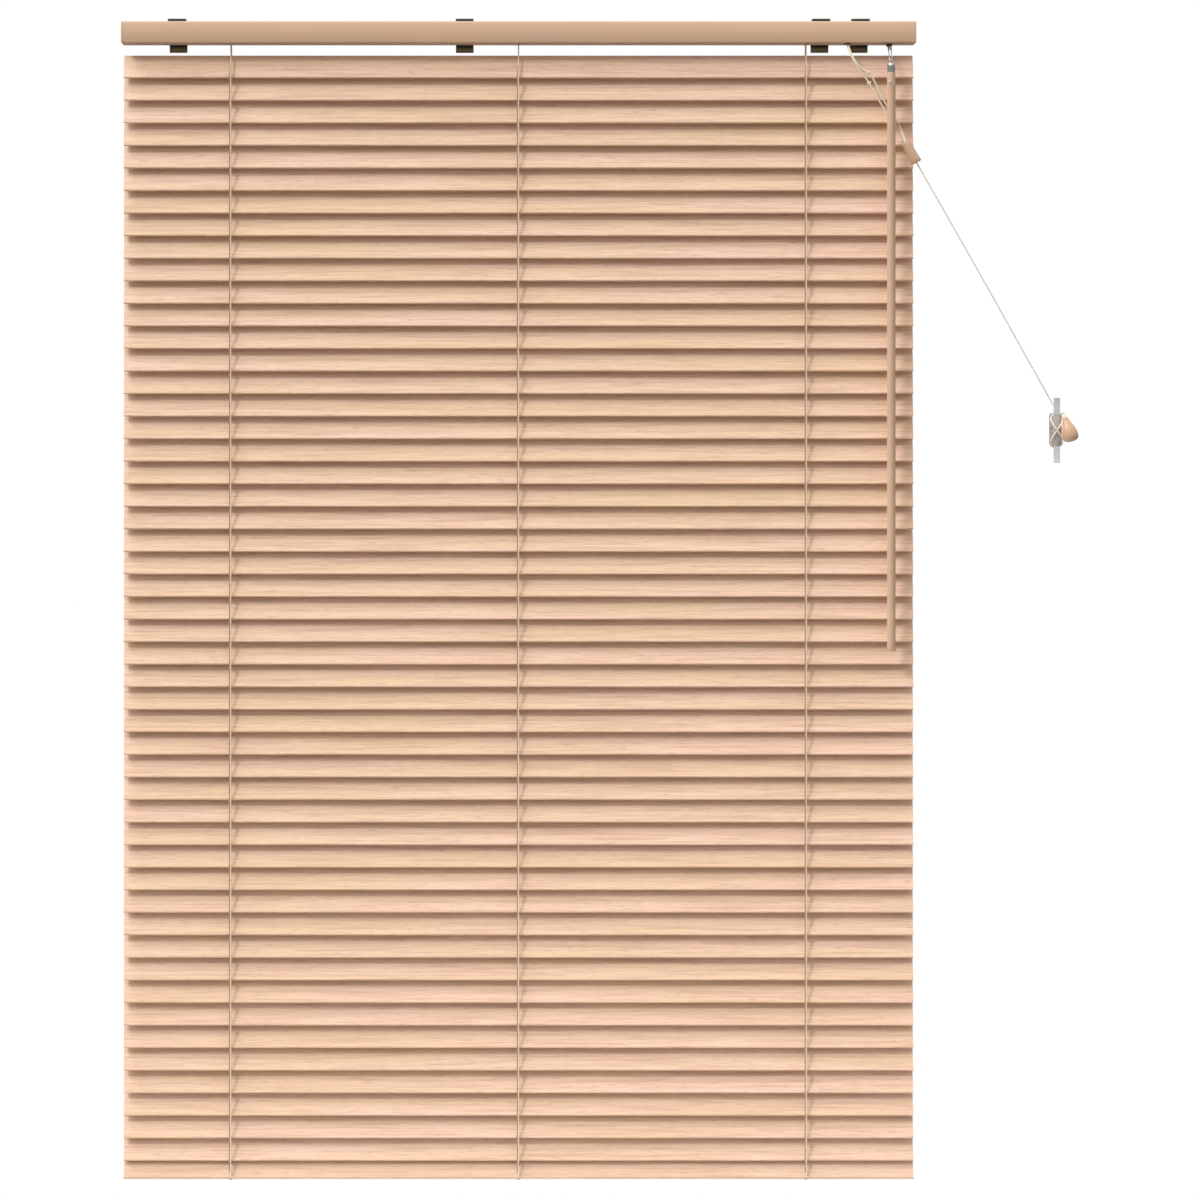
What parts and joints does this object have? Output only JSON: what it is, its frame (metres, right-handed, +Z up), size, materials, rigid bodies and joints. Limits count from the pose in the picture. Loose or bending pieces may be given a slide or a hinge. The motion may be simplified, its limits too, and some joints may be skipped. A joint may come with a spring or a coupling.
{
  "type": "venetian blind",
  "caption": "Venetian blind of flat wooden slats on string ladders, with a painted headrail, wall brackets, tilt wand, and lift cord wound on a wall cleat.",
  "frame": {"origin": "mid-length of the headrail, on the plane of the brackets' top faces and in the plane of the slat axes, where the blind is fixed under a soffit", "axes": "+X to the right along the headrail as seen from the room, +Y back to the wall or window, +Z up; the room side is -Y"},
  "size_m": [0.9637, 0.0392, 1.1694],
  "materials": {
    "slat_wood": "pale limed wood, satin lacquer, fine grain along the slat",
    "bottom_rail_wood": "same pale wood, 4.5 mm thick",
    "headrail_paint": "tan stove enamel, satin",
    "tilter_steel": "plain drawn steel",
    "wand_paint": "turned wood in tan paint, satin",
    "ladder_cotton": "cream polyester string",
    "cord_cotton": "cream braided cord",
    "toggle_paint": "turned wood in tan paint",
    "tassel_paint": "turned wood in tan lacquer",
    "cleat_plastic": "clear grey plastic, smooth"
  },
  "bodies": {
    "headrail": {"headrail": "headrail_paint", "cord_cleat": "cleat_plastic", "pull_cord": "cord_cotton", "cord_toggle": "toggle_paint", "cord_tassel": "tassel_paint"},
    "tilt_shaft": {"tilt_shaft": "tilter_steel"},
    "tilter_stem": {"tilter_stem": "tilter_steel"},
    "tilt_wand": {"tilt_wand": "wand_paint"},
    "ladder_front": {"ladder_front": "ladder_cotton"},
    "ladder_back": {"ladder_back": "ladder_cotton"},
    "bottom_rail": {"bottom_rail": "bottom_rail_wood"},
    "slat_01": {"slat_01": "slat_wood"},
    "slat_02": {"slat_02": "slat_wood"},
    "slat_03": {"slat_03": "slat_wood"},
    "slat_04": {"slat_04": "slat_wood"},
    "slat_05": {"slat_05": "slat_wood"},
    "slat_06": {"slat_06": "slat_wood"},
    "slat_07": {"slat_07": "slat_wood"},
    "slat_08": {"slat_08": "slat_wood"},
    "slat_09": {"slat_09": "slat_wood"},
    "slat_10": {"slat_10": "slat_wood"},
    "slat_11": {"slat_11": "slat_wood"},
    "slat_12": {"slat_12": "slat_wood"},
    "slat_13": {"slat_13": "slat_wood"},
    "slat_14": {"slat_14": "slat_wood"},
    "slat_15": {"slat_15": "slat_wood"},
    "slat_16": {"slat_16": "slat_wood"},
    "slat_17": {"slat_17": "slat_wood"},
    "slat_18": {"slat_18": "slat_wood"},
    "slat_19": {"slat_19": "slat_wood"},
    "slat_20": {"slat_20": "slat_wood"},
    "slat_21": {"slat_21": "slat_wood"},
    "slat_22": {"slat_22": "slat_wood"},
    "slat_23": {"slat_23": "slat_wood"},
    "slat_24": {"slat_24": "slat_wood"},
    "slat_25": {"slat_25": "slat_wood"},
    "slat_26": {"slat_26": "slat_wood"},
    "slat_27": {"slat_27": "slat_wood"},
    "slat_28": {"slat_28": "slat_wood"},
    "slat_29": {"slat_29": "slat_wood"},
    "slat_30": {"slat_30": "slat_wood"},
    "slat_31": {"slat_31": "slat_wood"},
    "slat_32": {"slat_32": "slat_wood"},
    "slat_33": {"slat_33": "slat_wood"},
    "slat_34": {"slat_34": "slat_wood"},
    "slat_35": {"slat_35": "slat_wood"},
    "slat_36": {"slat_36": "slat_wood"},
    "slat_37": {"slat_37": "slat_wood"},
    "slat_38": {"slat_38": "slat_wood"},
    "slat_39": {"slat_39": "slat_wood"},
    "slat_40": {"slat_40": "slat_wood"},
    "slat_41": {"slat_41": "slat_wood"},
    "slat_42": {"slat_42": "slat_wood"},
    "slat_43": {"slat_43": "slat_wood"},
    "slat_44": {"slat_44": "slat_wood"},
    "slat_45": {"slat_45": "slat_wood"},
    "slat_46": {"slat_46": "slat_wood"},
    "slat_47": {"slat_47": "slat_wood"},
    "slat_48": {"slat_48": "slat_wood"},
    "slat_49": {"slat_49": "slat_wood"}
  },
  "joints": [
    {"name": "tilt_wand_turn", "type": "hinge", "parent": "headrail", "child": "tilt_wand", "pos_m": [0.3741, -0.02, -0.045], "axis": [0, 0, -1], "range_deg": [0, 2520]},
    {"name": "tilter_stem_turn", "type": "hinge", "parent": "headrail", "child": "tilter_stem", "pos_m": [0.3741, 0, -0.0244], "axis": [0, -0.7071, -0.7071], "range_deg": [0, 2520]},
    {"name": "tilt_shaft_turn", "type": "hinge", "parent": "headrail", "child": "tilt_shaft", "pos_m": [0, 0, -0.013], "axis": [-1, 0, 0], "range_deg": [0, 140]},
    {"name": "slat_01_tilt", "type": "hinge", "parent": "headrail", "child": "slat_01", "pos_m": [0, 0, -0.0475], "axis": [-1, 0, 0], "range_deg": [0, 140]},
    {"name": "slat_02_tilt", "type": "hinge", "parent": "headrail", "child": "slat_02", "pos_m": [0, 0, -0.07024], "axis": [-1, 0, 0], "range_deg": [0, 140]},
    {"name": "slat_03_tilt", "type": "hinge", "parent": "headrail", "child": "slat_03", "pos_m": [0, 0, -0.09298], "axis": [-1, 0, 0], "range_deg": [0, 140]},
    {"name": "slat_04_tilt", "type": "hinge", "parent": "headrail", "child": "slat_04", "pos_m": [0, 0, -0.11572], "axis": [-1, 0, 0], "range_deg": [0, 140]},
    {"name": "slat_05_tilt", "type": "hinge", "parent": "headrail", "child": "slat_05", "pos_m": [0, 0, -0.13846], "axis": [-1, 0, 0], "range_deg": [0, 140]},
    {"name": "slat_06_tilt", "type": "hinge", "parent": "headrail", "child": "slat_06", "pos_m": [0, 0, -0.1612], "axis": [-1, 0, 0], "range_deg": [0, 140]},
    {"name": "slat_07_tilt", "type": "hinge", "parent": "headrail", "child": "slat_07", "pos_m": [0, 0, -0.18394], "axis": [-1, 0, 0], "range_deg": [0, 140]},
    {"name": "slat_08_tilt", "type": "hinge", "parent": "headrail", "child": "slat_08", "pos_m": [0, 0, -0.20668], "axis": [-1, 0, 0], "range_deg": [0, 140]},
    {"name": "slat_09_tilt", "type": "hinge", "parent": "headrail", "child": "slat_09", "pos_m": [0, 0, -0.22942], "axis": [-1, 0, 0], "range_deg": [0, 140]},
    {"name": "slat_10_tilt", "type": "hinge", "parent": "headrail", "child": "slat_10", "pos_m": [0, 0, -0.25216], "axis": [-1, 0, 0], "range_deg": [0, 140]},
    {"name": "slat_11_tilt", "type": "hinge", "parent": "headrail", "child": "slat_11", "pos_m": [0, 0, -0.2749], "axis": [-1, 0, 0], "range_deg": [0, 140]},
    {"name": "slat_12_tilt", "type": "hinge", "parent": "headrail", "child": "slat_12", "pos_m": [0, 0, -0.29764], "axis": [-1, 0, 0], "range_deg": [0, 140]},
    {"name": "slat_13_tilt", "type": "hinge", "parent": "headrail", "child": "slat_13", "pos_m": [0, 0, -0.32038], "axis": [-1, 0, 0], "range_deg": [0, 140]},
    {"name": "slat_14_tilt", "type": "hinge", "parent": "headrail", "child": "slat_14", "pos_m": [0, 0, -0.34312], "axis": [-1, 0, 0], "range_deg": [0, 140]},
    {"name": "slat_15_tilt", "type": "hinge", "parent": "headrail", "child": "slat_15", "pos_m": [0, 0, -0.36586], "axis": [-1, 0, 0], "range_deg": [0, 140]},
    {"name": "slat_16_tilt", "type": "hinge", "parent": "headrail", "child": "slat_16", "pos_m": [0, 0, -0.3886], "axis": [-1, 0, 0], "range_deg": [0, 140]},
    {"name": "slat_17_tilt", "type": "hinge", "parent": "headrail", "child": "slat_17", "pos_m": [0, 0, -0.41134], "axis": [-1, 0, 0], "range_deg": [0, 140]},
    {"name": "slat_18_tilt", "type": "hinge", "parent": "headrail", "child": "slat_18", "pos_m": [0, 0, -0.43408], "axis": [-1, 0, 0], "range_deg": [0, 140]},
    {"name": "slat_19_tilt", "type": "hinge", "parent": "headrail", "child": "slat_19", "pos_m": [0, 0, -0.45682], "axis": [-1, 0, 0], "range_deg": [0, 140]},
    {"name": "slat_20_tilt", "type": "hinge", "parent": "headrail", "child": "slat_20", "pos_m": [0, 0, -0.47956], "axis": [-1, 0, 0], "range_deg": [0, 140]},
    {"name": "slat_21_tilt", "type": "hinge", "parent": "headrail", "child": "slat_21", "pos_m": [0, 0, -0.5023], "axis": [-1, 0, 0], "range_deg": [0, 140]},
    {"name": "slat_22_tilt", "type": "hinge", "parent": "headrail", "child": "slat_22", "pos_m": [0, 0, -0.52504], "axis": [-1, 0, 0], "range_deg": [0, 140]},
    {"name": "slat_23_tilt", "type": "hinge", "parent": "headrail", "child": "slat_23", "pos_m": [0, 0, -0.54778], "axis": [-1, 0, 0], "range_deg": [0, 140]},
    {"name": "slat_24_tilt", "type": "hinge", "parent": "headrail", "child": "slat_24", "pos_m": [0, 0, -0.57052], "axis": [-1, 0, 0], "range_deg": [0, 140]},
    {"name": "slat_25_tilt", "type": "hinge", "parent": "headrail", "child": "slat_25", "pos_m": [0, 0, -0.59326], "axis": [-1, 0, 0], "range_deg": [0, 140]},
    {"name": "slat_26_tilt", "type": "hinge", "parent": "headrail", "child": "slat_26", "pos_m": [0, 0, -0.616], "axis": [-1, 0, 0], "range_deg": [0, 140]},
    {"name": "slat_27_tilt", "type": "hinge", "parent": "headrail", "child": "slat_27", "pos_m": [0, 0, -0.63874], "axis": [-1, 0, 0], "range_deg": [0, 140]},
    {"name": "slat_28_tilt", "type": "hinge", "parent": "headrail", "child": "slat_28", "pos_m": [0, 0, -0.66148], "axis": [-1, 0, 0], "range_deg": [0, 140]},
    {"name": "slat_29_tilt", "type": "hinge", "parent": "headrail", "child": "slat_29", "pos_m": [0, 0, -0.68422], "axis": [-1, 0, 0], "range_deg": [0, 140]},
    {"name": "slat_30_tilt", "type": "hinge", "parent": "headrail", "child": "slat_30", "pos_m": [0, 0, -0.70696], "axis": [-1, 0, 0], "range_deg": [0, 140]},
    {"name": "slat_31_tilt", "type": "hinge", "parent": "headrail", "child": "slat_31", "pos_m": [0, 0, -0.7297], "axis": [-1, 0, 0], "range_deg": [0, 140]},
    {"name": "slat_32_tilt", "type": "hinge", "parent": "headrail", "child": "slat_32", "pos_m": [0, 0, -0.75244], "axis": [-1, 0, 0], "range_deg": [0, 140]},
    {"name": "slat_33_tilt", "type": "hinge", "parent": "headrail", "child": "slat_33", "pos_m": [0, 0, -0.77518], "axis": [-1, 0, 0], "range_deg": [0, 140]},
    {"name": "slat_34_tilt", "type": "hinge", "parent": "headrail", "child": "slat_34", "pos_m": [0, 0, -0.79792], "axis": [-1, 0, 0], "range_deg": [0, 140]},
    {"name": "slat_35_tilt", "type": "hinge", "parent": "headrail", "child": "slat_35", "pos_m": [0, 0, -0.82066], "axis": [-1, 0, 0], "range_deg": [0, 140]},
    {"name": "slat_36_tilt", "type": "hinge", "parent": "headrail", "child": "slat_36", "pos_m": [0, 0, -0.8434], "axis": [-1, 0, 0], "range_deg": [0, 140]},
    {"name": "slat_37_tilt", "type": "hinge", "parent": "headrail", "child": "slat_37", "pos_m": [0, 0, -0.86614], "axis": [-1, 0, 0], "range_deg": [0, 140]},
    {"name": "slat_38_tilt", "type": "hinge", "parent": "headrail", "child": "slat_38", "pos_m": [0, 0, -0.88888], "axis": [-1, 0, 0], "range_deg": [0, 140]},
    {"name": "slat_39_tilt", "type": "hinge", "parent": "headrail", "child": "slat_39", "pos_m": [0, 0, -0.91162], "axis": [-1, 0, 0], "range_deg": [0, 140]},
    {"name": "slat_40_tilt", "type": "hinge", "parent": "headrail", "child": "slat_40", "pos_m": [0, 0, -0.93436], "axis": [-1, 0, 0], "range_deg": [0, 140]},
    {"name": "slat_41_tilt", "type": "hinge", "parent": "headrail", "child": "slat_41", "pos_m": [0, 0, -0.9571], "axis": [-1, 0, 0], "range_deg": [0, 140]},
    {"name": "slat_42_tilt", "type": "hinge", "parent": "headrail", "child": "slat_42", "pos_m": [0, 0, -0.97984], "axis": [-1, 0, 0], "range_deg": [0, 140]},
    {"name": "slat_43_tilt", "type": "hinge", "parent": "headrail", "child": "slat_43", "pos_m": [0, 0, -1.00258], "axis": [-1, 0, 0], "range_deg": [0, 140]},
    {"name": "slat_44_tilt", "type": "hinge", "parent": "headrail", "child": "slat_44", "pos_m": [0, 0, -1.02532], "axis": [-1, 0, 0], "range_deg": [0, 140]},
    {"name": "slat_45_tilt", "type": "hinge", "parent": "headrail", "child": "slat_45", "pos_m": [0, 0, -1.04806], "axis": [-1, 0, 0], "range_deg": [0, 140]},
    {"name": "slat_46_tilt", "type": "hinge", "parent": "headrail", "child": "slat_46", "pos_m": [0, 0, -1.0708], "axis": [-1, 0, 0], "range_deg": [0, 140]},
    {"name": "slat_47_tilt", "type": "hinge", "parent": "headrail", "child": "slat_47", "pos_m": [0, 0, -1.09354], "axis": [-1, 0, 0], "range_deg": [0, 140]},
    {"name": "slat_48_tilt", "type": "hinge", "parent": "headrail", "child": "slat_48", "pos_m": [0, 0, -1.11628], "axis": [-1, 0, 0], "range_deg": [0, 140]},
    {"name": "slat_49_tilt", "type": "hinge", "parent": "headrail", "child": "slat_49", "pos_m": [0, 0, -1.13902], "axis": [-1, 0, 0], "range_deg": [0, 140]},
    {"name": "bottom_rail_tilt", "type": "hinge", "parent": "headrail", "child": "bottom_rail", "pos_m": [0, 0, -1.15732], "axis": [-1, 0, 0], "range_deg": [0, 140]},
    {"name": "ladder_front_carry", "type": "hinge", "parent": "tilt_shaft", "child": "ladder_front", "pos_m": [0, -0.00328, -0.02202], "axis": [-1, 0, 0], "range_deg": [-140, 0]},
    {"name": "ladder_back_carry", "type": "hinge", "parent": "tilt_shaft", "child": "ladder_back", "pos_m": [0, 0.00328, -0.00398], "axis": [-1, 0, 0], "range_deg": [-140, 0]}
  ],
  "couplings": [
    {"joint": "tilter_stem_turn", "follows": "tilt_wand_turn", "ratio": 1},
    {"joint": "tilt_shaft_turn", "follows": "tilt_wand_turn", "ratio": 0.055556},
    {"joint": "slat_01_tilt", "follows": "tilt_wand_turn", "ratio": 0.055556},
    {"joint": "slat_02_tilt", "follows": "tilt_wand_turn", "ratio": 0.055556},
    {"joint": "slat_03_tilt", "follows": "tilt_wand_turn", "ratio": 0.055556},
    {"joint": "slat_04_tilt", "follows": "tilt_wand_turn", "ratio": 0.055556},
    {"joint": "slat_05_tilt", "follows": "tilt_wand_turn", "ratio": 0.055556},
    {"joint": "slat_06_tilt", "follows": "tilt_wand_turn", "ratio": 0.055556},
    {"joint": "slat_07_tilt", "follows": "tilt_wand_turn", "ratio": 0.055556},
    {"joint": "slat_08_tilt", "follows": "tilt_wand_turn", "ratio": 0.055556},
    {"joint": "slat_09_tilt", "follows": "tilt_wand_turn", "ratio": 0.055556},
    {"joint": "slat_10_tilt", "follows": "tilt_wand_turn", "ratio": 0.055556},
    {"joint": "slat_11_tilt", "follows": "tilt_wand_turn", "ratio": 0.055556},
    {"joint": "slat_12_tilt", "follows": "tilt_wand_turn", "ratio": 0.055556},
    {"joint": "slat_13_tilt", "follows": "tilt_wand_turn", "ratio": 0.055556},
    {"joint": "slat_14_tilt", "follows": "tilt_wand_turn", "ratio": 0.055556},
    {"joint": "slat_15_tilt", "follows": "tilt_wand_turn", "ratio": 0.055556},
    {"joint": "slat_16_tilt", "follows": "tilt_wand_turn", "ratio": 0.055556},
    {"joint": "slat_17_tilt", "follows": "tilt_wand_turn", "ratio": 0.055556},
    {"joint": "slat_18_tilt", "follows": "tilt_wand_turn", "ratio": 0.055556},
    {"joint": "slat_19_tilt", "follows": "tilt_wand_turn", "ratio": 0.055556},
    {"joint": "slat_20_tilt", "follows": "tilt_wand_turn", "ratio": 0.055556},
    {"joint": "slat_21_tilt", "follows": "tilt_wand_turn", "ratio": 0.055556},
    {"joint": "slat_22_tilt", "follows": "tilt_wand_turn", "ratio": 0.055556},
    {"joint": "slat_23_tilt", "follows": "tilt_wand_turn", "ratio": 0.055556},
    {"joint": "slat_24_tilt", "follows": "tilt_wand_turn", "ratio": 0.055556},
    {"joint": "slat_25_tilt", "follows": "tilt_wand_turn", "ratio": 0.055556},
    {"joint": "slat_26_tilt", "follows": "tilt_wand_turn", "ratio": 0.055556},
    {"joint": "slat_27_tilt", "follows": "tilt_wand_turn", "ratio": 0.055556},
    {"joint": "slat_28_tilt", "follows": "tilt_wand_turn", "ratio": 0.055556},
    {"joint": "slat_29_tilt", "follows": "tilt_wand_turn", "ratio": 0.055556},
    {"joint": "slat_30_tilt", "follows": "tilt_wand_turn", "ratio": 0.055556},
    {"joint": "slat_31_tilt", "follows": "tilt_wand_turn", "ratio": 0.055556},
    {"joint": "slat_32_tilt", "follows": "tilt_wand_turn", "ratio": 0.055556},
    {"joint": "slat_33_tilt", "follows": "tilt_wand_turn", "ratio": 0.055556},
    {"joint": "slat_34_tilt", "follows": "tilt_wand_turn", "ratio": 0.055556},
    {"joint": "slat_35_tilt", "follows": "tilt_wand_turn", "ratio": 0.055556},
    {"joint": "slat_36_tilt", "follows": "tilt_wand_turn", "ratio": 0.055556},
    {"joint": "slat_37_tilt", "follows": "tilt_wand_turn", "ratio": 0.055556},
    {"joint": "slat_38_tilt", "follows": "tilt_wand_turn", "ratio": 0.055556},
    {"joint": "slat_39_tilt", "follows": "tilt_wand_turn", "ratio": 0.055556},
    {"joint": "slat_40_tilt", "follows": "tilt_wand_turn", "ratio": 0.055556},
    {"joint": "slat_41_tilt", "follows": "tilt_wand_turn", "ratio": 0.055556},
    {"joint": "slat_42_tilt", "follows": "tilt_wand_turn", "ratio": 0.055556},
    {"joint": "slat_43_tilt", "follows": "tilt_wand_turn", "ratio": 0.055556},
    {"joint": "slat_44_tilt", "follows": "tilt_wand_turn", "ratio": 0.055556},
    {"joint": "slat_45_tilt", "follows": "tilt_wand_turn", "ratio": 0.055556},
    {"joint": "slat_46_tilt", "follows": "tilt_wand_turn", "ratio": 0.055556},
    {"joint": "slat_47_tilt", "follows": "tilt_wand_turn", "ratio": 0.055556},
    {"joint": "slat_48_tilt", "follows": "tilt_wand_turn", "ratio": 0.055556},
    {"joint": "slat_49_tilt", "follows": "tilt_wand_turn", "ratio": 0.055556},
    {"joint": "bottom_rail_tilt", "follows": "tilt_wand_turn", "ratio": 0.055556},
    {"joint": "ladder_front_carry", "follows": "tilt_wand_turn", "ratio": -0.055556},
    {"joint": "ladder_back_carry", "follows": "tilt_wand_turn", "ratio": -0.055556}
  ]
}
